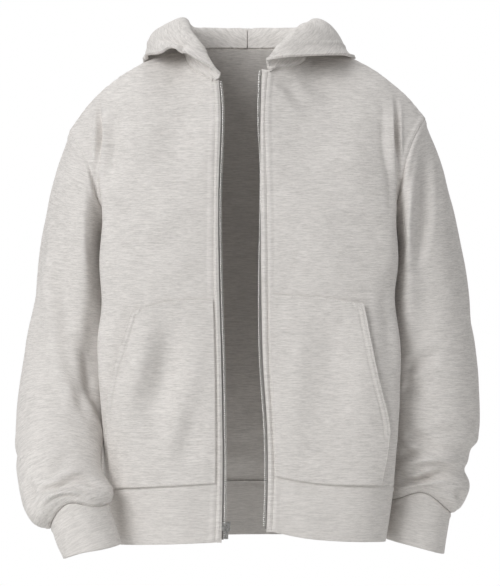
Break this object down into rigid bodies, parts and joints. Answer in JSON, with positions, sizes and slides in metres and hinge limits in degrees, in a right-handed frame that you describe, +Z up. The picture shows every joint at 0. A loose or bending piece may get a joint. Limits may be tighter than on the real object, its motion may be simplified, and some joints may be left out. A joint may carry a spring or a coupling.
{
  "type": "zip up hoodie in its worn form",
  "caption": "Loose fleece zip hoodie in its worn, hollow form: lying hood, full sleeves with cuffs, kangaroo pocket halves, hem band and an undone metal zip.",
  "frame": {"origin": "middle of the neck opening, where the wearer's shoulders and neck carry the garment", "axes": "+Z up, -Y towards the front with the zip, +X towards the wearer's left"},
  "size_m": [0.6718, 0.342, 0.7724],
  "materials": {
    "fleece": "matte heather fleece",
    "rib": "matte fine rib",
    "tape": "woven tape",
    "zip_metal": "satin metal"
  },
  "bodies": {
    "garment": {"front_right": "fleece", "front_left": "fleece", "back": "fleece", "hem_band": "rib", "sleeve_right": "fleece", "sleeve_left": "fleece", "cuff_right": "rib", "cuff_left": "rib", "hood_right": "fleece", "hood_left": "fleece", "placket_right": "fleece", "placket_left": "fleece", "zip_tape_right": "tape", "zip_tape_left": "tape", "pocket_right": "fleece", "pocket_left": "fleece", "zip_slider": "zip_metal", "zip_box": "zip_metal", "zip_pin": "zip_metal"},
    "pull_tab": {"zip_pull_tab": "zip_metal"}
  },
  "joints": [
    {"name": "pull_tab_swing", "type": "hinge", "parent": "garment", "child": "pull_tab", "pos_m": [-0.02968, -0.11144, -0.6595], "axis": [-1, 0, 0], "range_deg": [0, 170]}
  ]
}
